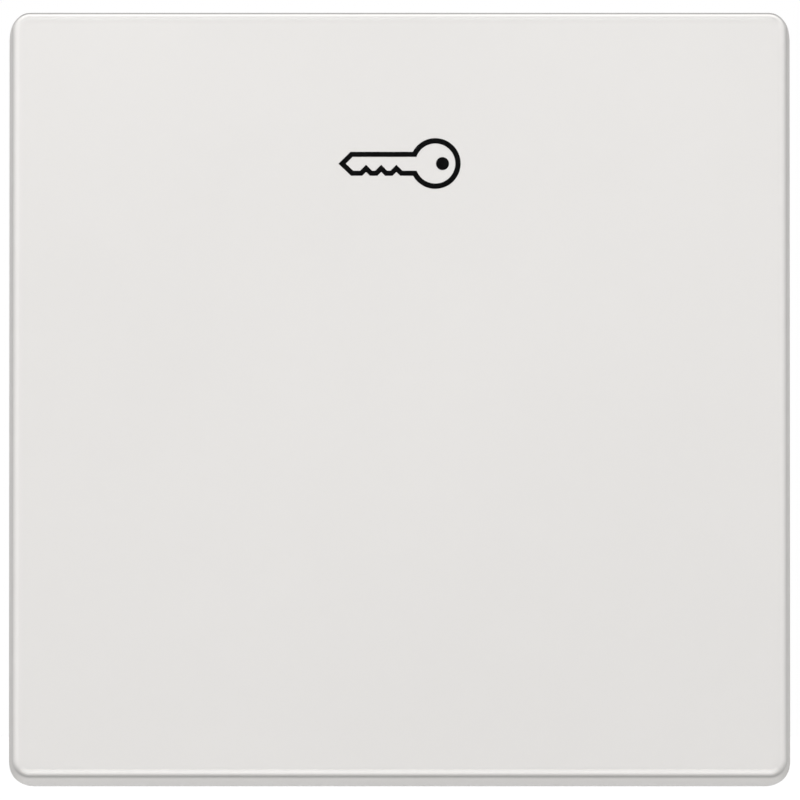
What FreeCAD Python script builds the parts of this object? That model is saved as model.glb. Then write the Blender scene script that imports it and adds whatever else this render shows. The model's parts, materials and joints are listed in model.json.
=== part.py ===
import FreeCAD, Part
import math
import os
import re

import Sketcher

# A flush rocker pushbutton for a round 60 mm wall box.
# X is to the right, Z is up and Y runs into the wall; the front faces -Y.
# The origin is the centre of the support plate's rear face, which lies on the wall.
# Lengths are in millimetres and angles in degrees.

V = FreeCAD.Vector

# Each size that can be set by itself: name, value.
SIZES = {
    # rocker cover
    "rocker_wide": 68.0,
    "rocker_tall": 67.3,
    "rocker_deep": 8.2,
    "rocker_face": 1.8,
    "rocker_side": 1.6,
    "rocker_flare": 0.43,
    "rocker_corner": 2.0,
    "rocker_round": 0.75,
    "rim_behind_pivot": 1.7,
    "rib_thick": 1.2,
    "rib_tall": 1.5,
    "rib_apart_wide": 44.0,
    "rib_apart_tall": 50.0,
    # tilt
    "pivot_ahead": 6.0,
    "rest_tilt": 4.5,
    "rocker_swing": 7.0,
    # carrier under the rocker
    "carrier_wide": 29.0,
    "carrier_tall": 35.0,
    "carrier_thick": 1.6,
    "carrier_corner": 2.0,
    "carrier_seat": 0.5,
    "seat_pad_wide": 5.0,
    "carrier_window_wide": 6.2,
    "carrier_window_tall": 9.0,
    "carrier_window_up": 9.5,
    "carrier_bar": 2.6,
    "hook_wide": 6.0,
    "hook_thick": 1.3,
    "hook_apart": 16.0,
    "hook_lip": 0.7,
    "hook_lip_deep": 0.9,
    "hook_gap": 0.1,
    "arm_thick": 1.8,
    "arm_round": 2.1,
    "axle_round": 1.5,
    "axle_gap": 0.05,
    "cam_round": 1.5,
    "cam_wide": 3.2,
    "cam_behind": 0.85,
    "cam_gap": 0.06,
    # support plate
    "plate_wide": 66.0,
    "plate_tall": 66.0,
    "plate_thick": 1.2,
    "plate_corner": 3.0,
    "box_screws_apart": 60.0,
    "slot_wide": 3.4,
    "slot_long": 4.2,
    "window_gap": 0.2,
    "neck_corner": 2.0,
    # mechanism cover
    "shoulder_wide": 1.6,
    "shoulder_tall": 2.2,
    "flange_thick": 1.5,
    "cheek_inside": 24.0,
    "cheek_thick": 2.2,
    "cheek_round": 2.3,
    "guide_wall": 0.85,
    "guide_deep": 2.0,
    "cover_screw_in": 2.7,
    "cover_screw_down": 3.0,
    "cover_screw_round": 1.2,
    "cover_screw_gap": 0.1,
    "cover_screw_bite": 6.0,
    "cover_head_round": 2.2,
    "cover_head_tall": 1.3,
    "cover_head_sunk": 0.1,
    # base housing
    "base_wide": 37.0,
    "base_tall": 44.0,
    "base_deep": 22.5,
    "base_corner": 3.5,
    "base_edge": 0.6,
    "well_wide": 17.8,
    "well_gap": 0.3,
    "well_spare": 0.6,
    "spring_bore_deep": 5.2,
    "rail_out": 2.1,
    "rail_thick": 1.2,
    "rail_long": 19.0,
    "rail_gap": 0.3,
    # plunger and contacts
    "plunger_down": 13.0,
    "plunger_round": 2.5,
    "plunger_gap": 0.05,
    "stop_gap": 0.3,
    "carriage_wide": 6.0,
    "carriage_tall": 6.6,
    "carriage_front": 1.1,
    "carriage_window": 5.2,
    "carriage_sill": 1.4,
    "nub_round": 1.7,
    "nub_tall": 1.5,
    "bridge_long": 16.6,
    "bridge_wide": 4.0,
    "bridge_thick": 0.6,
    "bridge_gap": 0.1,
    "contact_apart": 12.8,
    "rivet_round": 1.5,
    "rivet_tall": 0.9,
    "rivet_shank": 0.9,
    "rivet_gap": 0.05,
    "fixed_tall": 0.8,
    "contact_gap": 0.05,
    "contact_spring_round": 1.5,
    "contact_wire": 0.4,
    "return_spring_round": 2.45,
    "return_wire": 0.5,
    "spring_seat_gap": 0.1,
    # terminals
    "bar_thick": 0.8,
    "bar_pad_from": 4.3,
    "bar_pad_tall": 4.4,
    "bar_deep": 5.0,
    "bar_top": 17.2,
    "bar_gap": 0.2,
    "chamber_wall": 1.7,
    "chamber_wide": 7.2,
    "chamber_low": 1.4,
    "chamber_high": 17.6,
    "chamber_deep": 7.0,
    "entry_in": 4.9,
    "entry_low": 4.6,
    "entry_apart": 9.6,
    "entry_round": 1.3,
    "entry_lead": 0.6,
    "clamp_wide": 4.4,
    "clamp_thick": 0.35,
    "clamp_bend": 0.8,
    "clamp_tip_gap": 0.15,
    "clamp_tip_deep": 12.9,
    "lid_thick": 3.0,
    "lid_from": 4.0,
    "lid_low": -15.9,
    "lid_high": 18.1,
    "lid_step": 0.3,
    "lid_gap": 0.1,
    "post_from": 4.6,
    "post_beside_bar": 1.2,
    "post_tall": 4.0,
    "key_wide": 2.8,
    "key_tall": 3.1,
    "key_in": 2.8,
    "key_gap": 0.15,
    "key_proud": 0.8,
    "key_wing_tall": 6.8,
    "key_wing_wide": 1.0,
    "key_wing_thick": 1.2,
    "key_wing_gap": 0.2,
    "key_wing_in": 0.2,
    # claws
    "claw_beside": 3.5,
    "claw_tilt": 17.1,
    "claw_thick": 1.0,
    "claw_long": 19.5,
    "claw_fold": 14.6,
    "claw_bend": 28.0,
    "claw_half_wide": 7.2,
    "claw_fork": 3.4,
    "claw_arm_edge": 6.0,
    "claw_ear_edge": 7.6,
    "claw_neck": 1.3,
    "claw_ear": 1.0,
    "claw_window": 13.0,
    "claw_tooth": 2.0,
    "claw_slot_wide": 2.7,
    "claw_slot_gap": 0.3,
    "claw_screw_round": 1.75,
    "claw_screw_spare": 4.0,
    "claw_screw_gap": 0.2,
    "claw_head_round": 3.0,
    "claw_head_tall": 2.0,
    "claw_head_edge": 0.4,
    "drive_slot_wide": 0.8,
    "drive_slot_deep": 1.1,
    "nut_wide": 6.4,
    "nut_tall": 11.2,
    "nut_thick": 4.0,
    "nut_before_tip": 7.5,
    "nut_gap": 0.05,
    "nut_edge": 0.6,
}

# How many teeth a claw has.
CLAW_TEETH = 3

# Sizes that follow from the ones above.
FORMULAS = {
    "plate_front": "0 - plate_thick",
    "neck_wide": "base_wide - 2 * shoulder_wide",
    "neck_tall": "base_tall - 2 * shoulder_tall",
    "cover_screw_across": "neck_wide / 2 - cover_screw_in",
    "cover_screw_up": "neck_tall / 2 - cover_screw_down",
    "flange_front": "plate_front - flange_thick",
    "pivot_depth": "0 - pivot_ahead",
    "face_local": "rim_behind_pivot - rocker_deep",
    "ceiling_local": "face_local + rocker_face",
    "carrier_front": "ceiling_local + carrier_seat",
    "carrier_back": "carrier_front + carrier_thick",
    "hook_out": "carrier_tall / 2 + hook_gap",
    "arm_out": "cheek_inside / 2 - cheek_side_gap",
    "cheek_side_gap": "3 * hook_gap",
    "cheek_outside": "cheek_inside / 2 + cheek_thick",
    "plunger_height": "0 - plunger_down",
    "cam_rest": "cam_behind * cos(rest_tilt * 1 deg) - plunger_down * sin(rest_tilt * 1 deg)",
    "pressed_tilt": "rocker_swing - rest_tilt",
    "cam_pressed": "cam_behind * cos(pressed_tilt * 1 deg) + plunger_down * sin(pressed_tilt * 1 deg)",
    "plunger_travel": "cam_pressed - cam_rest",
    "plunger_front": "pivot_depth + cam_rest + cam_round + cam_gap",
    "guide_back": "guide_deep",
    "carriage_from": "guide_back + stop_gap",
    "carriage_open": "carriage_from + carriage_front",
    "sill_front": "carriage_open + carriage_window",
    "carriage_back": "sill_front + carriage_sill",
    "bridge_front": "sill_front - bridge_thick",
    "moving_tip": "sill_front + rivet_tall",
    "fixed_tip": "moving_tip + plunger_travel + contact_gap",
    "pad_front": "fixed_tip + fixed_tall",
    "pad_back": "pad_front + bar_thick",
    "well_floor": "carriage_back + plunger_travel + well_spare",
    "spring_floor": "well_floor + spring_bore_deep",
    "base_back": "base_deep",
    "lid_front": "base_deep - lid_thick",
    "chamber_out": "base_wide / 2 - chamber_wall",
    "bar_inside": "chamber_out - chamber_wide",
    "bar_outside": "bar_inside + bar_thick",
    "post_to": "bar_inside - post_beside_bar",
    "lid_out": "chamber_out + lid_step",
    "entry_across": "chamber_out - entry_in",
    "key_across": "chamber_out - key_in",
    "entry_high": "entry_low + entry_apart",
    "key_height": "entry_low + entry_apart / 2",
    "claw_across": "base_wide / 2 + claw_beside",
    "claw_depth": "plate_front / 2",
    "claw_ear_end": "0 - claw_neck - claw_ear",
    "claw_reach": "claw_ear_edge + claw_ear",
    "nut_depth": "claw_long - nut_before_tip",
    "claw_screw_long": "nut_depth + nut_thick + claw_screw_spare",
}

document = FreeCAD.newDocument("pushbutton")
sheet = document.addObject("Spreadsheet::Sheet", "Size")
for row, (alias, number) in enumerate(SIZES.items(), start=1):
    sheet.set(f"A{row}", str(number))
    sheet.setAlias(f"A{row}", alias)
document.recompute()


def size(alias):
    """The value of one cell of the sheet."""
    return float(sheet.get(alias))


def formula(text):
    """Writes a formula of plain names as one on the sheet's cells."""

    def word(match):
        name = match.group(0)
        if name in FORMULAS:
            return "(" + formula(FORMULAS[name]) + ")"
        if name in SIZES:
            return "Size." + name
        return name

    return re.sub(r"[a-z_]+", word, str(text))


parts = []


def new_part(label, across="0", depth="0", height="0"):
    """An empty body with its origin at a place given by three formulas."""
    body = document.addObject("PartDesign::Body", "Body")
    body.Label = label
    body.setExpression("Placement.Base.x", formula(across))
    body.setExpression("Placement.Base.y", formula(depth))
    body.setExpression("Placement.Base.z", formula(height))
    parts.append(body)
    return body


def tilt(body, axis, angle):
    """Turns a body about an axis through its own origin."""
    base = body.Placement.Base
    body.Placement = FreeCAD.Placement(base, FreeCAD.Rotation(axis, 1.0))
    body.setExpression("Placement.Rotation.Angle", formula(angle))


class Outline:
    """Closed figures for one sketch, with their places given by formulas."""

    def __init__(self):
        self.figures = []

    def box(self, low_x, low_y, high_x, high_y):
        corners = [(low_x, low_y), (high_x, low_y), (high_x, high_y), (low_x, high_y)]
        self.figures.append(("polygon", corners))
        return self

    def middle_box(self, x, y, wide, tall):
        return self.box(
            f"{x} - ({wide}) / 2",
            f"{y} - ({tall}) / 2",
            f"{x} + ({wide}) / 2",
            f"{y} + ({tall}) / 2",
        )

    def polygon(self, corners):
        self.figures.append(("polygon", corners))
        return self

    def circle(self, x, y, radius):
        self.figures.append(("circle", (x, y, radius)))
        return self

    def draw(self, sketch):
        for kind, figure in self.figures:
            if kind == "polygon":
                draw_polygon(sketch, figure)
            else:
                draw_circle(sketch, *figure)


def pin_point(sketch, geometry, point, x, y):
    """Holds one point of a sketch at a place given by two formulas."""
    for kind, distance in (("DistanceX", x), ("DistanceY", y)):
        number = sketch.addConstraint(Sketcher.Constraint(kind, -1, 1, geometry, point, 1.0))
        sketch.setExpression(f"Constraints[{number}]", formula(distance))


def draw_polygon(sketch, corners):
    first = sketch.GeometryCount
    count = len(corners)
    for index in range(count):
        start = 2 * math.pi * index / count
        end = 2 * math.pi * (index + 1) / count
        ends = [V(math.cos(angle), math.sin(angle), 0) for angle in (start, end)]
        sketch.addGeometry(Part.LineSegment(*ends), False)
    for index in range(count):
        after = first + (index + 1) % count
        sketch.addConstraint(Sketcher.Constraint("Coincident", first + index, 2, after, 1))
    for index, (x, y) in enumerate(corners):
        pin_point(sketch, first + index, 1, x, y)


def draw_circle(sketch, x, y, radius):
    number = sketch.addGeometry(Part.Circle(V(0, 0, 0), V(0, 0, 1), 1.0), False)
    pin_point(sketch, number, 3, x, y)
    held = sketch.addConstraint(Sketcher.Constraint("Radius", number, 1.0))
    sketch.setExpression(f"Constraints[{held}]", formula(radius))


def origin_plane(body, role):
    return next(item for item in body.Origin.OriginFeatures if item.Role == role)


def extrude(body, kind, plane, outline, low, high):
    """Pads or pockets an outline between two places along the plane's row axis.

    The XZ plane of a body faces -Y, so its places are counted the other way round.
    """
    if plane == "XZ":
        low, high = f"0 - ({high})", f"0 - ({low})"
    sketch = body.newObject("Sketcher::SketchObject", f"{kind}Outline")
    sketch.AttachmentSupport = (origin_plane(body, f"{plane}_Plane"), [""])
    sketch.MapMode = "FlatFace"
    start = low if kind == "Pad" else high
    sketch.setExpression("AttachmentOffset.Base.z", formula(start))
    outline.draw(sketch)
    feature = body.newObject(f"PartDesign::{kind}", kind)
    feature.Profile = sketch
    feature.setExpression("Length", formula(f"({high}) - ({low})"))
    document.recompute()
    return feature


def pad(body, plane, outline, low, high):
    return extrude(body, "Pad", plane, outline, low, high)


def pocket(body, plane, outline, low, high):
    before = body.Shape.Volume
    feature = extrude(body, "Pocket", plane, outline, low, high)
    if not body.Shape.Volume < before - 1e-6:
        raise RuntimeError(f"a pocket of {body.Label} cuts nothing")
    return feature


def dress(body, kind, chosen, amount):
    """Rounds or bevels the edges that the chosen test picks."""
    base = body.Tip
    names = [f"Edge{index}" for index, edge in enumerate(base.Shape.Edges, start=1) if chosen(edge)]
    if not names:
        raise RuntimeError(f"{body.Label} has no edge to dress")
    feature = body.newObject(f"PartDesign::{kind}", kind)
    feature.Base = (base, names)
    feature.setExpression("Radius" if kind == "Fillet" else "Size", formula(amount))
    document.recompute()
    return feature


def draft_sides(body, rim_alias, angle):
    """Draws in every side wall towards the front, from the flat face at the rim.

    The feature finds its faces in the first recompute and is sound after the second.
    """
    base = body.Tip
    depth = size(rim_alias)
    sides = []
    rim = None
    for index, face in enumerate(base.Shape.Faces, start=1):
        box = face.BoundBox
        if box.YLength > 0.001:
            sides.append(f"Face{index}")
        elif abs(box.YMin - depth) < 0.001:
            rim = f"Face{index}"
    feature = body.newObject("PartDesign::Draft", "Draft")
    feature.Base = (base, sides)
    feature.NeutralPlane = (base, [rim])
    feature.Reversed = True
    document.recompute()
    feature.setExpression("Angle", formula(angle))
    document.recompute()
    return feature


def along(edge, axis, spread=0.1):
    """True for a straight edge that runs within a spread of an axis."""
    span = edge.Vertexes[-1].Point - edge.Vertexes[0].Point
    if edge.Length > span.Length * 1.001:
        return False
    return abs(span.normalize().dot(axis)) > 1 - spread


def outer_corner(edge, axis, reach_one, reach_two):
    """True for an edge along an axis whose middle lies past both reaches."""
    middle = edge.valueAt((edge.FirstParameter + edge.LastParameter) / 2)
    others = [name for name in "xyz" if abs(getattr(axis, name)) < 0.5]
    places = [abs(getattr(middle, name)) for name in others]
    return along(edge, axis) and places[0] > reach_one and places[1] > reach_two


def at_depth(edge, depth, spread=0.001):
    """True for an edge that lies in the plane at one depth."""
    box = edge.BoundBox
    return abs(box.YMin - depth) < spread and abs(box.YMax - depth) < spread


X_AXIS = V(1, 0, 0)
Y_AXIS = V(0, 1, 0)
Z_AXIS = V(0, 0, 1)
SIDES = (("left", -1), ("right", 1))


def both_ways(x_list, y_list):
    return [(x, y) for x in x_list for y in y_list]


def make_rocker_cover():
    """The rocker: a drafted, rounded cap with stiffening ribs, seat pads and clip hooks."""
    body = new_part("rocker_cover", depth="pivot_depth")
    rim = Outline().middle_box("0", "0", "rocker_wide", "rocker_tall")
    pad(body, "XZ", rim, "face_local", "rim_behind_pivot")
    reach = size("rocker_wide") / 4
    dress(body, "Fillet", lambda edge: outer_corner(edge, Y_AXIS, reach, reach), "rocker_corner")
    draft_sides(body, "rim_behind_pivot", "atan(rocker_flare / rocker_deep)")
    face = size("rim_behind_pivot") - size("rocker_deep")
    dress(body, "Fillet", lambda edge: at_depth(edge, face), "rocker_round")
    hollow = Outline()
    hollow.middle_box("0", "0", "rocker_wide - 2 * rocker_side", "rocker_tall - 2 * rocker_side")
    pocket(body, "XZ", hollow, "ceiling_local", "rim_behind_pivot")
    ribs = Outline()
    ribs.middle_box("0", "0", "rib_apart_wide + rib_thick", "rib_apart_tall + rib_thick")
    ribs.middle_box("0", "0", "rib_apart_wide - rib_thick", "rib_apart_tall - rib_thick")
    pad(body, "XZ", ribs, "ceiling_local", "ceiling_local + rib_tall")
    seats = Outline()
    hooks = Outline()
    lips = Outline()
    for side_x, side_z in both_ways((-1, 1), (-1, 1)):
        across = f"{side_x} * hook_apart / 2"
        seat_up = f"{side_z} * (carrier_tall - seat_pad_wide) / 2"
        seats.middle_box(across, seat_up, "hook_wide", "seat_pad_wide")
        hooks.middle_box(across, f"{side_z} * (hook_out + hook_thick / 2)", "hook_wide", "hook_thick")
        lip_up = f"{side_z} * (hook_out + (hook_thick - hook_lip) / 2)"
        lips.middle_box(across, lip_up, "hook_wide", "hook_thick + hook_lip")
    pad(body, "XZ", seats, "ceiling_local", "carrier_front")
    pad(body, "XZ", hooks, "ceiling_local", "carrier_back + hook_gap + hook_lip_deep")
    pad(body, "XZ", lips, "carrier_back + hook_gap", "carrier_back + hook_gap + hook_lip_deep")
    tilt(body, X_AXIS, "0 - rest_tilt")


def make_rocker_carrier():
    """The frame that the rocker clips to, with its stub axles and the cam that pushes the plunger."""
    body = new_part("rocker_carrier", depth="pivot_depth")
    plate = Outline().middle_box("0", "0", "carrier_wide", "carrier_tall")
    pad(body, "XZ", plate, "carrier_front", "carrier_back")
    reach = size("carrier_wide") / 4
    dress(body, "Fillet", lambda edge: outer_corner(edge, Y_AXIS, reach, reach), "carrier_corner")
    windows = Outline()
    for side in (-1, 1):
        across = f"{side} * (carrier_bar + carrier_window_wide) / 2"
        windows.middle_box(across, "carrier_window_up", "carrier_window_wide", "carrier_window_tall")
    pocket(body, "XZ", windows, "carrier_front", "carrier_back")
    for side in (-1, 1):
        near, far = f"{side} * (arm_out - arm_thick)", f"{side} * arm_out"
        low, high = (near, far) if side > 0 else (far, near)
        web = Outline().box("carrier_back", "0 - arm_round", "0", "arm_round")
        pad(body, "YZ", web, low, high)
        eye = Outline().circle("0", "0", "arm_round")
        pad(body, "YZ", eye, low, high)
        tip = f"{side} * cheek_outside"
        low, high = (near, tip) if side > 0 else (tip, near)
        axle = Outline().circle("0", "0", "axle_round")
        pad(body, "YZ", axle, low, high)
    stem = Outline()
    stem.box("carrier_back", "plunger_height - cam_round", "cam_behind", "plunger_height + cam_round")
    pad(body, "YZ", stem, "0 - cam_wide / 2", "cam_wide / 2")
    nose = Outline().circle("cam_behind", "plunger_height", "cam_round")
    pad(body, "YZ", nose, "0 - cam_wide / 2", "cam_wide / 2")
    tilt(body, X_AXIS, "0 - rest_tilt")


def make_support_plate():
    """The steel plate that is screwed to the wall box."""
    body = new_part("support_plate")
    sheet_outline = Outline().middle_box("0", "0", "plate_wide", "plate_tall")
    pad(body, "XZ", sheet_outline, "plate_front", "0")
    reach = size("plate_wide") / 4
    dress(body, "Fillet", lambda edge: outer_corner(edge, Y_AXIS, reach, reach), "plate_corner")
    window = Outline().middle_box("0", "0", "neck_wide + 2 * window_gap", "neck_tall + 2 * window_gap")
    pocket(body, "XZ", window, "plate_front", "0")
    for across, height in ((-1, 0), (1, 0), (0, -1), (0, 1)):
        x = f"{across} * box_screws_apart / 2"
        y = f"{height} * box_screws_apart / 2"
        straight = "slot_long - slot_wide"
        wide = straight if across else "slot_wide"
        tall = straight if height else "slot_wide"
        pocket(body, "XZ", Outline().middle_box(x, y, wide, tall), "plate_front", "0")
        for end in (-1, 1):
            shift = f" + {end} * ({straight}) / 2"
            rounded = Outline().circle(x + shift * abs(across), y + shift * abs(height), "slot_wide / 2")
            pocket(body, "XZ", rounded, "plate_front", "0")
    claws = Outline()
    for side in (-1, 1):
        x = f"{side} * claw_across"
        claws.circle(x, "0", "claw_screw_round + claw_screw_gap")
        for up in (-1, 1):
            middle = f"{up} * (claw_fork + claw_arm_edge) / 2"
            arm = "claw_arm_edge - claw_fork + 2 * claw_slot_gap"
            claws.middle_box(x, middle, "claw_slot_wide", arm)
    pocket(body, "XZ", claws, "plate_front", "0")


def cover_screw_places():
    return [(f"{end} * cover_screw_across", f"{end} * cover_screw_up") for end in (-1, 1)]


def make_mechanism_cover():
    """The cover that clamps the plate to the base, guides the plunger and bears the rocker's axles."""
    body = new_part("mechanism_cover")
    neck = Outline().middle_box("0", "0", "neck_wide", "neck_tall")
    pad(body, "XZ", neck, "plate_front", "0")
    flange = Outline().middle_box("0", "0", "base_wide", "base_tall")
    pad(body, "XZ", flange, "flange_front", "plate_front")
    reach = size("base_wide") / 4
    dress(body, "Fillet", lambda edge: outer_corner(edge, Y_AXIS, reach, reach), "neck_corner")
    for side in (-1, 1):
        near, far = f"{side} * cheek_inside / 2", f"{side} * cheek_outside"
        low, high = (near, far) if side > 0 else (far, near)
        web = Outline().box("pivot_depth", "0 - cheek_round", "flange_front", "cheek_round")
        pad(body, "YZ", web, low, high)
        eye = Outline().circle("pivot_depth", "0", "cheek_round")
        pad(body, "YZ", eye, low, high)
        bore = Outline().circle("pivot_depth", "0", "axle_round + axle_gap")
        pocket(body, "YZ", bore, low, high)
    boss = Outline().circle("0", "plunger_height", "plunger_round + plunger_gap + guide_wall")
    pad(body, "XZ", boss, "0", "guide_back")
    guide = Outline().circle("0", "plunger_height", "plunger_round + plunger_gap")
    pocket(body, "XZ", guide, "flange_front", "guide_back")
    holes = Outline()
    sinks = Outline()
    for x, y in cover_screw_places():
        holes.circle(x, y, "cover_screw_round + cover_screw_gap")
        sinks.circle(x, y, "cover_head_round + cover_screw_gap")
    pocket(body, "XZ", holes, "flange_front", "0")
    pocket(body, "XZ", sinks, "flange_front", "flange_front + cover_head_tall + cover_head_sunk")


def make_cover_screws():
    """The two screws that hold the cover, the plate and the base together."""
    body = new_part("cover_screws")
    heads = Outline()
    shanks = Outline()
    for x, y in cover_screw_places():
        heads.circle(x, y, "cover_head_round")
        shanks.circle(x, y, "cover_screw_round")
    seat = "flange_front + cover_head_tall + cover_head_sunk"
    pad(body, "XZ", heads, "flange_front + cover_head_sunk", seat)
    pad(body, "XZ", shanks, seat, "cover_screw_bite")


def make_base_housing():
    """The base in the wall box, with the plunger's well and the two terminal chambers."""
    body = new_part("base_housing")
    half_wide, half_tall = "base_wide / 2", "base_tall / 2"
    corners = []
    for sx, sy, flat_first in ((1, 1, False), (-1, 1, True), (-1, -1, False), (1, -1, True)):
        cut_x = (f"{sx} * ({half_wide} - base_corner)", f"{sy} * {half_tall}")
        cut_y = (f"{sx} * {half_wide}", f"{sy} * ({half_tall} - base_corner)")
        corners += [cut_x, cut_y] if flat_first else [cut_y, cut_x]
    pad(body, "XZ", Outline().polygon(corners), "0", "base_back")
    back = size("base_deep")
    dress(body, "Chamfer", lambda edge: at_depth(edge, back), "base_edge")
    rails = Outline()
    for side_x, side_z in both_ways((-1, 1), (-1, 1)):
        middle = f"{side_z} * (nut_tall / 2 + rail_gap + rail_thick / 2)"
        rails.middle_box(f"{side_x} * ({half_wide} + rail_out / 2)", middle, "rail_out", "rail_thick")
    pad(body, "XZ", rails, "0", "rail_long")
    well = Outline().middle_box("0", "plunger_height", "well_wide", "carriage_tall + 2 * well_gap")
    pocket(body, "XZ", well, "0", "well_floor")
    bore = Outline().circle("0", "plunger_height", "return_spring_round + return_wire / 2 + well_gap")
    pocket(body, "XZ", bore, "well_floor", "spring_floor")
    holes = Outline()
    for x, y in cover_screw_places():
        holes.circle(x, y, "cover_screw_round + rivet_gap")
    pocket(body, "XZ", holes, "0", "cover_screw_bite + bar_gap")
    for _, side in SIDES:
        lid = Outline().box(
            f"{side} * (lid_from - lid_gap)",
            "lid_low - lid_gap",
            f"{side} * (lid_out + lid_gap)",
            "lid_high + lid_gap",
        )
        pocket(body, "XZ", lid, "lid_front", "base_back")
        chamber = Outline().box(
            f"{side} * bar_inside", "chamber_low", f"{side} * chamber_out", "chamber_high"
        )
        pocket(body, "XZ", chamber, "chamber_deep", "lid_front")
        half_pad = "bar_pad_tall / 2 + bar_gap"
        pad_slot = Outline().box(
            f"{side} * (bar_pad_from - bar_gap)",
            f"plunger_height - ({half_pad})",
            f"{side} * (bar_outside + bar_gap)",
            f"plunger_height + {half_pad}",
        )
        pocket(body, "XZ", pad_slot, "pad_front", "lid_front")
        bar_slot = Outline().box(
            f"{side} * bar_inside",
            f"plunger_height + {half_pad} - bar_gap",
            f"{side} * (bar_outside + bar_gap)",
            "chamber_low + bar_gap",
        )
        pocket(body, "XZ", bar_slot, "pad_front", "lid_front")


def make_plunger():
    """The plunger: a round stem ahead of a carriage with a window for the contact bridge."""
    body = new_part("plunger")
    stem = Outline().circle("0", "plunger_height", "plunger_round")
    pad(body, "XZ", stem, "plunger_front", "carriage_from")
    carriage = Outline().middle_box("0", "plunger_height", "carriage_wide", "carriage_tall")
    pad(body, "XZ", carriage, "carriage_from", "carriage_back")
    window = Outline().middle_box("0", "plunger_height", "carriage_wide", "bridge_wide + 2 * bridge_gap")
    pocket(body, "XZ", window, "carriage_open", "sill_front")
    nub = Outline().circle("0", "plunger_height", "nub_round")
    pad(body, "XZ", nub, "carriage_back", "carriage_back + nub_tall")


def make_contact_bridge():
    """The bridge that joins the two fixed contacts when the plunger goes in."""
    body = new_part("contact_bridge")
    strip = Outline().middle_box("0", "plunger_height", "bridge_long", "bridge_wide")
    pad(body, "XZ", strip, "bridge_front", "sill_front")
    holes = Outline()
    for side in (-1, 1):
        holes.circle(f"{side} * contact_apart / 2", "plunger_height", "rivet_shank + rivet_gap")
    pocket(body, "XZ", holes, "bridge_front", "sill_front")


def make_moving_contacts():
    """The two silver rivets of the bridge."""
    body = new_part("moving_contacts")
    heads = Outline()
    shanks = Outline()
    for side in (-1, 1):
        heads.circle(f"{side} * contact_apart / 2", "plunger_height", "rivet_round")
        shanks.circle(f"{side} * contact_apart / 2", "plunger_height", "rivet_shank")
    pad(body, "XZ", heads, "sill_front", "moving_tip")
    pad(body, "XZ", shanks, "bridge_front", "sill_front")


def make_fixed_contact(name, side):
    """The silver rivet of one terminal bar."""
    body = new_part(f"fixed_contact_{name}")
    x = f"{side} * contact_apart / 2"
    pad(body, "XZ", Outline().circle(x, "plunger_height", "rivet_round"), "fixed_tip", "pad_front")
    pad(body, "XZ", Outline().circle(x, "plunger_height", "rivet_shank"), "pad_front", "pad_back")


def make_terminal_bar(name, side):
    """The brass bar from one fixed contact to the two wire clamps of its side."""
    body = new_part(f"terminal_bar_{name}")
    low = "plunger_height - bar_pad_tall / 2"
    wall = Outline().box(f"{side} * bar_inside", low, f"{side} * bar_outside", "bar_top")
    pad(body, "XZ", wall, "pad_front", "pad_front + bar_deep")
    foot = Outline().box(
        f"{side} * bar_pad_from", low, f"{side} * bar_outside", "plunger_height + bar_pad_tall / 2"
    )
    pad(body, "XZ", foot, "pad_front", "pad_back")
    hole = Outline().circle(f"{side} * contact_apart / 2", "plunger_height", "rivet_shank + rivet_gap")
    pocket(body, "XZ", hole, "pad_front", "pad_back")


def make_terminal_lid(name, side):
    """The lid over one terminal chamber, with two wire entries, the key's slot and the bar's post."""
    body = new_part(f"terminal_lid_{name}")
    lid = Outline().box(f"{side} * lid_from", "lid_low", f"{side} * lid_out", "lid_high")
    pad(body, "XZ", lid, "lid_front", "base_back")
    post = Outline().box(
        f"{side} * post_from",
        "plunger_height - post_tall / 2",
        f"{side} * post_to",
        "plunger_height + post_tall / 2",
    )
    pad(body, "XZ", post, "pad_back", "lid_front")
    slot = Outline().middle_box(
        f"{side} * key_across", "key_height", "key_wide + 2 * key_gap", "key_tall + 2 * key_gap"
    )
    pocket(body, "XZ", slot, "lid_front", "base_back")
    entries = Outline()
    for height in ("entry_low", "entry_high"):
        entries.circle(f"{side} * entry_across", height, "entry_round")
    pocket(body, "XZ", entries, "lid_front", "base_back")
    back = size("base_deep")

    def entry_mouth(edge):
        return at_depth(edge, back) and edge.Curve.TypeId == "Part::GeomCircle"

    dress(body, "Chamfer", entry_mouth, "entry_lead")


def make_release_key(name, side):
    """The key that lifts the two clamp springs of one side off their wires."""
    body = new_part(f"release_key_{name}")
    stem = Outline().middle_box(f"{side} * key_across", "key_height", "key_wide", "key_tall")
    wing_front = "lid_front - key_wing_gap - key_wing_thick"
    pad(body, "XZ", stem, wing_front, "base_back + key_proud")
    wings = Outline().middle_box(
        f"{side} * (key_across - key_wing_in)", "key_height", "key_wing_wide", "key_wing_tall"
    )
    pad(body, "XZ", wings, wing_front, "lid_front - key_wing_gap")


def claw_blank():
    """The outline of a claw in Y and Z: two ears and necks ahead, a fork, and teeth at the end."""
    half = [
        ("claw_ear_end", "claw_fork"),
        ("claw_ear_end", "claw_ear_edge"),
        ("0 - claw_neck", "claw_ear_edge"),
        ("0 - claw_neck", "claw_arm_edge"),
        ("claw_neck", "claw_arm_edge"),
        ("claw_neck", "claw_half_wide"),
        ("claw_long - claw_tooth", "claw_half_wide"),
    ]
    teeth = []
    for index in range(CLAW_TEETH):
        peak = f"claw_half_wide * (1 - {2 * index + 1} / {CLAW_TEETH})"
        teeth.append(("claw_long", peak))
        if index < CLAW_TEETH - 1:
            root = f"claw_half_wide * (1 - {2 * index + 2} / {CLAW_TEETH})"
            teeth.append(("claw_long - claw_tooth", root))
    other = [(y, f"0 - {z}") for y, z in reversed(half)]
    fork = [("claw_window", "0 - claw_fork"), ("claw_window", "claw_fork")]
    return half + teeth + other + fork


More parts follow.
